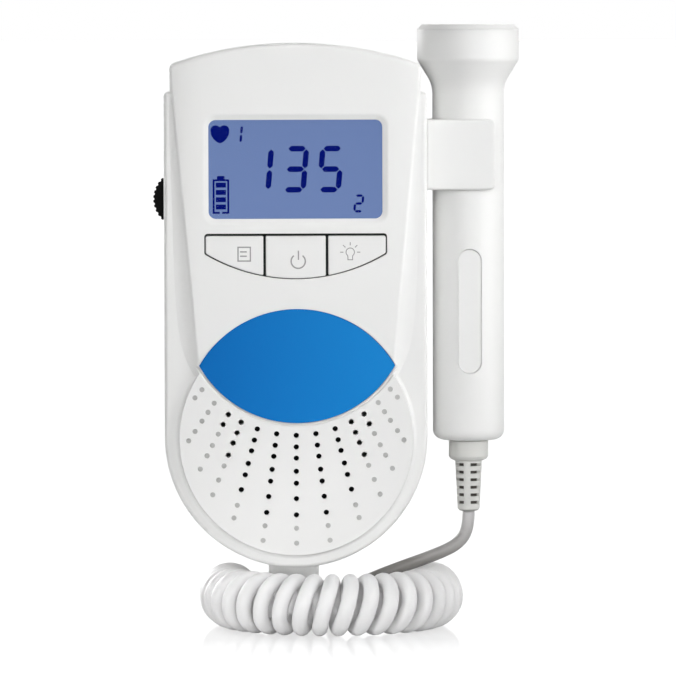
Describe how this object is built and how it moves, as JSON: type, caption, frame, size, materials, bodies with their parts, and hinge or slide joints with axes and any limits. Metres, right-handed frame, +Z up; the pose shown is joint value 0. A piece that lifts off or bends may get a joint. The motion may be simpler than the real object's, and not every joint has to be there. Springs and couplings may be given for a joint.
{
  "type": "fetal doppler monitor",
  "caption": "Handheld heartbeat monitor with display, keys, volume wheel and speaker, its round-headed probe clipped to the side on a curly cord.",
  "frame": {"origin": "on the table under the middle of the main unit, on the flat underside of the cord's plug", "axes": "+Z up along the unit, +X to the probe's side, +Y to the back; the display faces -Y"},
  "size_m": [0.0954, 0.0787, 0.1572],
  "materials": {
    "white_shell": "satin moulded white ABS",
    "white_probe": "satin moulded white ABS",
    "button_white": "soft white keys",
    "label_blue": "printed blue film under clear lacquer",
    "clear_window": "clear acrylic",
    "display": "blue-grey reflective display",
    "diffuser": "milky light guide",
    "black_plastic": "black moulded plastic",
    "foam_black": "closed-cell foam",
    "cone_black": "pressed paper cone",
    "board_green": "solder-masked board",
    "steel": "plated steel",
    "cell": "plain cell jacket",
    "ceramic": "piezo ceramic",
    "boot_rubber": "soft off-white strain relief",
    "plug_plastic": "soft grey-white moulding",
    "cord_rubber": "white cord jacket"
  },
  "bodies": {
    "main_unit": {"front_shell": "white_shell", "rear_shell": "white_shell", "label_plate": "label_blue", "lcd_window": "clear_window", "lcd_glass": "display", "lcd_backlight": "diffuser", "lcd_frame": "black_plastic", "button_switches": "black_plastic", "volume_pot": "black_plastic", "main_board": "board_green", "board_chips": "black_plastic", "board_screws": "steel", "housing_screws": "steel", "earphone_jack": "black_plastic", "speaker_gasket": "foam_black", "speaker_frame": "steel", "speaker_cone": "cone_black", "speaker_magnet": "steel", "battery_1": "cell", "battery_2": "cell", "battery_contacts": "steel", "battery_springs": "steel", "probe_socket": "black_plastic", "probe_clip": "white_shell", "cord_plug": "plug_plastic", "plug_contacts": "steel", "plug_boot": "plug_plastic", "curly_cord": "cord_rubber", "cord_lead": "cord_rubber", "cord_tail": "cord_rubber"},
    "mode_button": {"mode_button": "button_white"},
    "power_button": {"power_button": "button_white"},
    "backlight_button": {"backlight_button": "button_white"},
    "volume_wheel": {"volume_wheel": "black_plastic"},
    "battery_cover": {"battery_cover": "white_shell"},
    "probe": {"probe_body": "white_probe", "probe_face": "white_probe", "transmit_crystal": "ceramic", "receive_crystal": "ceramic", "crystal_backing": "black_plastic", "probe_board": "board_green", "probe_shield": "steel", "cable_clamp": "black_plastic", "probe_boot": "boot_rubber"}
  },
  "joints": [
    {"name": "mode_press", "type": "slide", "parent": "main_unit", "child": "mode_button", "axis": [0, 1, 0], "range_m": [0, 0.0005], "stiffness_N_per_m": 400, "springref_m": -0.001},
    {"name": "power_press", "type": "slide", "parent": "main_unit", "child": "power_button", "axis": [0, 1, 0], "range_m": [0, 0.0005], "stiffness_N_per_m": 400, "springref_m": -0.001},
    {"name": "backlight_press", "type": "slide", "parent": "main_unit", "child": "backlight_button", "axis": [0, 1, 0], "range_m": [0, 0.0005], "stiffness_N_per_m": 400, "springref_m": -0.001},
    {"name": "volume_turn", "type": "hinge", "parent": "main_unit", "child": "volume_wheel", "pos_m": [-0.0294, 0, 0.112], "axis": [0, 1, 0], "range_deg": [0, 280]},
    {"name": "battery_cover_open", "type": "hinge", "parent": "main_unit", "child": "battery_cover", "pos_m": [0, 0.0175, 0.0612], "axis": [-1, 0, 0], "range_deg": [0, 60]},
    {"name": "probe_pull", "type": "slide", "parent": "main_unit", "child": "probe", "axis": [1, 0, 0], "range_m": [0, 0.02]}
  ]
}
